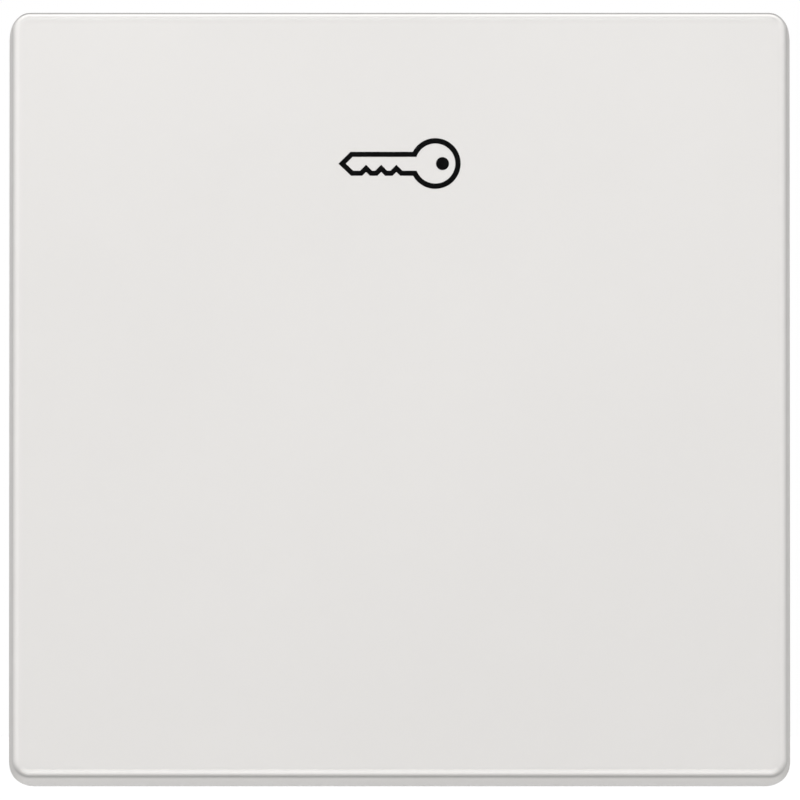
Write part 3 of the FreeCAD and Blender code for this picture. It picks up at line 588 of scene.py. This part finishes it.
def make_symbol():
    """The printed key: a film a fiftieth of a millimetre thick on the face."""
    film = 0.02
    curve = bpy.data.curves.new("key_symbol_outline", "CURVE")
    curve.dimensions = "2D"
    curve.fill_mode = "BOTH"
    curve.extrude = film / 2
    for outline in key_outlines():
        spline = curve.splines.new("POLY")
        spots = [face_point(column, row) for column, row in outline]
        spline.points.add(len(spots) - 1)
        for point, (x, z) in zip(spline.points, spots):
            point.co = (x, z, 0.0, 1.0)
        spline.use_cyclic_u = True
    flat = bpy.data.objects.new("key_symbol_flat", curve)
    bpy.context.scene.collection.objects.link(flat)
    mesh = evaluated_mesh(flat)
    bpy.data.objects.remove(flat)
    tool = bmesh.new()
    tool.from_mesh(mesh)
    bpy.data.meshes.remove(mesh)
    bmesh.ops.remove_doubles(tool, verts=tool.verts, dist=0.0005)
    upright = Matrix.Rotation(math.radians(90), 4, "X")
    upright = Matrix.Translation((0, FACE_DEPTH - film / 2, 0)) @ upright
    bmesh.ops.transform(tool, matrix=ROCKER @ upright, verts=tool.verts)
    new_piece("key_symbol", tool, "rocker", SYMBOL)


# ---- springs


def make_coil(name, body, node, radius, wire, low, high, turns):
    """A round coil spring along Y with closed, ground ends, in place of a plain sleeve."""
    per_turn, sides = 28, 10
    closed, tight = 0.9, wire * 1.02
    total, low_end = turns + 2 * closed, closed * tight
    start, end = low + wire / 2, high - wire / 2

    def rise(turn):
        if turn < closed:
            return turn * tight
        if turn > total - closed:
            return (end - start) - (total - turn) * tight
        return low_end + (turn - closed) / turns * (end - start - 2 * low_end)

    rings = []
    count = int(total * per_turn)
    for index in range(count + 1):
        turn = total * index / count
        angle = 2 * math.pi * turn
        out = Vector((math.cos(angle), 0, math.sin(angle)))
        middle = out * radius + Vector((0, start + rise(turn), PLUNGER_HEIGHT))
        ring = []
        for side in range(sides):
            around = 2 * math.pi * side / sides
            spoke = out * math.cos(around) + Vector((0, 1, 0)) * math.sin(around)
            ring.append(middle + spoke * wire / 2)
        rings.append(ring)
    tool = bmesh.new()
    loft(tool, rings)
    spring = new_piece(name, tool, body, MATERIALS["spring_steel"], 60)
    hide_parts(node)
    return spring


def make_clamp_spring(side, way, level, height):
    """One bent leaf that holds a wire.

    Its line runs in X and Y: up the leg, round the bend at the shoulder and back to the tip.
    """
    thick, wide, bend, corner = 0.35, 4.4, 0.8, 0.05
    leg, shoulder, foot = 16.625, 18.225, 7.0
    tip = Vector((10.725, 12.9))
    middle = Vector((leg - bend, shoulder))
    tilt = math.radians(37.54)
    line = []
    for step in range(8):
        line.append((Vector((leg, foot + (shoulder - foot) * step / 8)), Vector((1.0, 0.0))))
    for step in range(17):
        angle = (math.pi - tilt) * step / 16
        out = Vector((math.cos(angle), math.sin(angle)))
        line.append((middle + out * bend, out))
    start, out = line[-1]
    line += [(start.lerp(tip, step / 10), out) for step in range(1, 11)]
    half, edge = thick / 2, wide / 2
    section = [
        (half, edge - corner),
        (half - corner, edge),
        (corner - half, edge),
        (-half, edge - corner),
        (-half, corner - edge),
        (corner - half, -edge),
        (half - corner, -edge),
        (half, corner - edge),
    ]
    rings = []
    for spot, out in line:
        ring = []
        for across, along in section:
            point = spot + out * across
            ring.append((way * point.x, point.y, height + along))
        rings.append(ring)
    tool = bmesh.new()
    loft(tool, rings)
    leaf = new_piece(f"clamp_leaf_{side}_{level}", tool, "insert", MATERIALS["spring_steel"], 30)
    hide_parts(f"clamp_spring_{side}_{level}")
    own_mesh(leaf)


# ---- moulded marks on the rear


def raised_ring(tool, x, z, inner, outer, rise):
    """A low moulded ring round one point of the rear face."""
    edge = min(rise, (outer - inner) / 2) * 0.6
    section = [
        (inner, REAR - SUNK),
        (inner, REAR + rise - edge),
        (inner + edge, REAR + rise),
        (outer - edge, REAR + rise),
        (outer, REAR + rise - edge),
        (outer, REAR - SUNK),
    ]
    steps = 40
    rings = []
    for step in range(steps + 1):
        angle = 2 * math.pi * step / steps
        across, up = math.cos(angle), math.sin(angle)
        rings.append([(x + radius * across, depth, z + radius * up) for radius, depth in section])
    loft(tool, rings, closed_ends=False)
    bmesh.ops.remove_doubles(tool, verts=tool.verts, dist=0.0001)


def ejector_ring(tool, x, z, inner):
    """The faint ring that an ejector pin left."""
    raised_ring(tool, x, z, inner, inner + 0.15, 0.06)


def make_rear_marks():
    """Collars round the wire entries, a mark that points at each key and a strip-length gauge."""
    foot = REAR - SUNK
    entry_x, collar_inner, collar_outer, collar_rise = 11.9, 1.98, 2.7, 0.3
    pointer = [(9.4, 10.3), (11.2, 9.4), (9.4, 8.5)]
    pointer_top = [(9.6, 10.0), (10.8, 9.4), (9.6, 8.8)]
    collars = bmesh.new()
    for way in (-1, 1):
        for height in ENTRY_HEIGHTS.values():
            raised_ring(collars, way * entry_x, height, collar_inner, collar_outer, collar_rise)
        ejector_ring(collars, way * 10.5, -10.5, 1.9)
        levels = ((pointer, foot), (pointer, REAR + 0.1), (pointer_top, REAR + 0.22))
        loft(collars, [[(way * x, depth, z) for x, z in corners] for corners, depth in levels])
    marks = new_piece("lid_collars", collars, "insert", MATERIALS["lid_plastic"], 40)

    # The gauge shows a stripped wire beside a measure of its bare length.
    bare_low, bare_high, sheath_low, line = -8.0, 3.0, -16.0, 0.15
    gauge = bmesh.new()
    rounded_block(gauge, (-0.45, foot, bare_low), (0.45, REAR + 0.22, bare_high), 0.12)
    rounded_block(gauge, (-1.3, foot, sheath_low), (1.3, REAR + 0.3, bare_low), 0.15)
    for height in (bare_low, bare_high):
        rounded_block(gauge, (1.7, foot, height - line), (3.1, REAR + line, height + line), 0.06)
    rounded_block(gauge, (2.25, foot, bare_low + 0.2), (2.55, REAR + line, bare_high - 0.2), 0.06)
    for height in (12.0, -19.2):
        ejector_ring(gauge, 0.0, height, 1.55)
    marks = new_piece("strip_gauge", gauge, "insert", MATERIALS["base_thermoset"], 40)


# ---- claw screws


def make_claw_screw(side, across):
    """A claw screw: slotted cheese head with a bevelled rim, and a thread of 0.6 mm pitch."""
    sides, per_pitch = 36, 6
    pitch, crest, root, end_round = 0.6, 1.75, 1.42, 1.2
    front, seat, tip = -3.2, -1.2, 20.0
    plain, run_out, tip_bevel = 0.6, 0.8, 0.5
    head_round, slot_half, slot_deep = 3.0, 0.4, 1.1

    def limit(value):
        return min(1.0, max(0.0, value))

    def thread(depth, step):
        """The thread's radius at one depth and step round the screw."""
        phase = (depth / pitch - step / sides) % 1.0
        flank = limit(abs(2 * phase - 1) * 1.35 - 0.1)
        begin = limit((depth - seat - plain) / run_out)
        radius = root + (crest - root) * (1 - flank * begin)
        return end_round + (radius - end_round) * limit((tip - depth) / tip_bevel)

    def ring(depth, radii):
        points = []
        for step, radius in enumerate(radii):
            angle = 2 * math.pi * step / sides
            points.append((across + radius * math.cos(angle), depth, radius * math.sin(angle)))
        return points

    tool = bmesh.new()
    count = int((tip - seat) / pitch * per_pitch)
    depths = [seat + (tip - seat) * index / count for index in range(count + 1)]
    loft(tool, [ring(depth, [thread(depth, step) for step in range(sides)]) for depth in depths])
    head = [
        (seat, head_round - 0.1),
        (seat - 0.12, head_round),
        (front + 0.4, head_round),
        (front + 0.1, head_round - 0.18),
        (front, head_round - 0.38),
    ]
    loft(tool, [ring(depth, [radius] * sides) for depth, radius in head])
    name, steel = f"claw_screw_{side}_turned", MATERIALS["screw_steel"]
    piece = new_piece(name, tool, f"claw_screw_{side}", steel, 35)

    cutter = bmesh.new()
    low_x, high_x, reach = across - slot_half, across + slot_half, 4.0
    corners = ((low_x, -reach), (high_x, -reach), (high_x, reach), (low_x, reach))
    depths = (front - 1.0, front + slot_deep)
    loft(cutter, [[(x, depth, z) for x, z in corners] for depth in depths])
    cut_out(piece, cutter)
    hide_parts(f"claw_screw_{side}")


def cut_out(piece, tool):
    """Cuts a form away from a piece and leaves the result in its mesh."""
    bmesh.ops.recalc_face_normals(tool, faces=tool.faces)
    mesh = to_mesh("cutter", tool)
    cutter = bpy.data.objects.new("cutter", mesh)
    bpy.context.scene.collection.objects.link(cutter)
    modifier = piece.modifiers.new("cut", "BOOLEAN")
    modifier.operation = "DIFFERENCE"
    modifier.solver = "EXACT"
    modifier.use_self = True
    modifier.object = cutter
    made = evaluated_mesh(piece)
    piece.modifiers.clear()
    old = piece.data
    piece.data = made
    bpy.data.meshes.remove(old)
    bpy.data.objects.remove(cutter)
    bpy.data.meshes.remove(mesh)


# ---- carried-over nodes


# Widths of the softened edges, by how a node's name starts.
SOFT_EDGES = {
    "rocker_carrier": 0.2,
    "support_plate": 0.12,
    "mechanism_cover": 0.2,
    "cover_screws": 0.15,
    "base_housing": 0.25,
    "plunger": 0.15,
    "contact_bridge": 0.08,
    "moving_contacts": 0.15,
    "fixed_contact": 0.15,
    "terminal_bar": 0.08,
    "terminal_lid": 0.15,
    "release_key": 0.15,
    "claw_nut": 0.2,
    "claw": 0.12,
}


def dress_nodes():
    """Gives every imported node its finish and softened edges."""
    for name, item in NODES.items():
        item.data.materials.clear()
        item.data.materials.append(MATERIALS[SLOTS[name]])
        key = next((start for start in SOFT_EDGES if name.startswith(start)), None)
        if key is None:
            continue
        weld = item.modifiers.new("weld", "WELD")
        weld.merge_threshold = 0.002 * MM
        flat = item.modifiers.new("one_face_a_plane", "DECIMATE")
        flat.decimate_type = "DISSOLVE"
        flat.angle_limit = math.radians(0.5)
        bevel = item.modifiers.new("soft_edges", "BEVEL")
        bevel.width = SOFT_EDGES[key] * MM
        bevel.segments = 2
        bevel.limit_method = "ANGLE"
        bevel.angle_limit = math.radians(38)
        bevel.use_clamp_overlap = True
        bevel.face_strength_mode = "FSTR_ALL"
        shading = item.modifiers.new("flat_faces", "WEIGHTED_NORMAL")
        shading.use_face_influence = True
        shading.keep_sharp = False


# ---- room, lamps and camera


def seen_directly(t):
    """1 for the eye and for what gloss or glass shows of a surface, 0 for the light it gives."""
    path = t.node("ShaderNodeLightPath").outputs
    first = t.work("MAXIMUM", path["Is Camera Ray"], path["Is Glossy Ray"])
    return t.work("MAXIMUM", first, path["Is Transmission Ray"])


def make_floor():
    """A wide pale floor just under the part; it stays white to the eye but keeps the shadow."""
    tool = bmesh.new()
    half, level = 4000.0, -70.0
    bmesh.ops.create_grid(tool, x_segments=8, y_segments=8, size=half)
    bmesh.ops.translate(tool, vec=(0, 0, level), verts=tool.verts)
    mesh = to_mesh("floor", tool)
    floor = bpy.data.objects.new("floor", mesh)
    bpy.context.scene.collection.objects.link(floor)
    material, t = new_material("floor_white")
    lit = t.node("ShaderNodeBsdfDiffuse", {"Color": (0.86, 0.86, 0.86, 1.0)}).outputs[0]
    # The glow grows with the distance from the part, in metres.
    away = t.node("ShaderNodeVectorMath", {0: t.place()}, operation="LENGTH").outputs["Value"]
    share = t.spread(away, 0.10, 0.75, 0.15, 0.55)
    glow = t.node("ShaderNodeEmission", {"Color": WHITE, "Strength": share}).outputs[0]
    bright = t.node("ShaderNodeAddShader", {0: lit, 1: glow}).outputs[0]
    t.show(t.node("ShaderNodeMixShader", {"Fac": seen_directly(t), 1: lit, 2: bright}).outputs[0])
    mesh.materials.append(material)


def make_world():
    """A white room: plain level for light, pure white where it is seen."""
    world = bpy.data.worlds.new("room")
    bpy.context.scene.world = world
    world.use_nodes = True
    t = Tree(world.node_tree)
    light = t.node("ShaderNodeBackground", {"Color": WHITE, "Strength": 0.36}).outputs[0]
    white = t.node("ShaderNodeBackground", {"Color": WHITE, "Strength": 1.0}).outputs[0]
    mixed = t.node("ShaderNodeMixShader", {"Fac": seen_directly(t), 1: light, 2: white}).outputs[0]
    t.show(mixed, "ShaderNodeOutputWorld")


def lamp(name, place, size, power):
    """An oblong soft box that shines at the origin, in metres and watts."""
    data = bpy.data.lights.new(name, "AREA")
    data.shape = "RECTANGLE"
    data.size, data.size_y = size
    data.energy = power
    item = bpy.data.objects.new(name, data)
    bpy.context.scene.collection.objects.link(item)
    item.location = place
    item.rotation_mode = "QUATERNION"
    item.rotation_quaternion = (-Vector(place)).to_track_quat("-Z", "Y")


def make_lamps():
    lamp("front_top", (-0.047, -0.33, 0.355), (0.40, 0.27), 1.54)
    lamp("left_strip", (-0.56, -0.32, 0.05), (0.14, 0.60), 0.36)
    lamp("right_box", (0.60, -0.16, 0.05), (0.50, 0.60), 0.47)


def make_camera():
    data = bpy.data.cameras.new("camera")
    data.lens = LENS
    data.sensor_width = SENSOR
    data.clip_start, data.clip_end = 0.1, 20.0
    camera = bpy.data.objects.new("camera", data)
    bpy.context.scene.collection.objects.link(camera)
    camera.location = (CAMERA_RIGHT, -CAMERA_AWAY, CAMERA_UP)
    camera.rotation_euler = (math.radians(90), 0, 0)
    bpy.context.scene.camera = camera


# ---- the scene


dress_nodes()
make_rocker_shell()
make_symbol()
make_coil(
    "contact_spring_coil",
    "plunger",
    "contact_spring",
    radius=1.5,
    wire=0.4,
    low=3.45,
    high=7.95,
    turns=5,
)
spring_end = 17.35
return_coil = make_coil(
    "return_spring_coil",
    "insert",
    "return_spring",
    radius=2.45,
    wire=0.5,
    low=10.05,
    high=spring_end,
    turns=5,
)
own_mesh(return_coil)
for side, way in SIDES:
    make_claw_screw(side, way * CLAW_SCREW_ACROSS)
for side, way in SIDES:
    for level, height in ENTRY_HEIGHTS.items():
        make_clamp_spring(side, way, level, height)
make_rear_marks()
make_floor()
make_world()
make_lamps()
make_camera()
bpy.context.scene.view_settings.view_transform = "Standard"
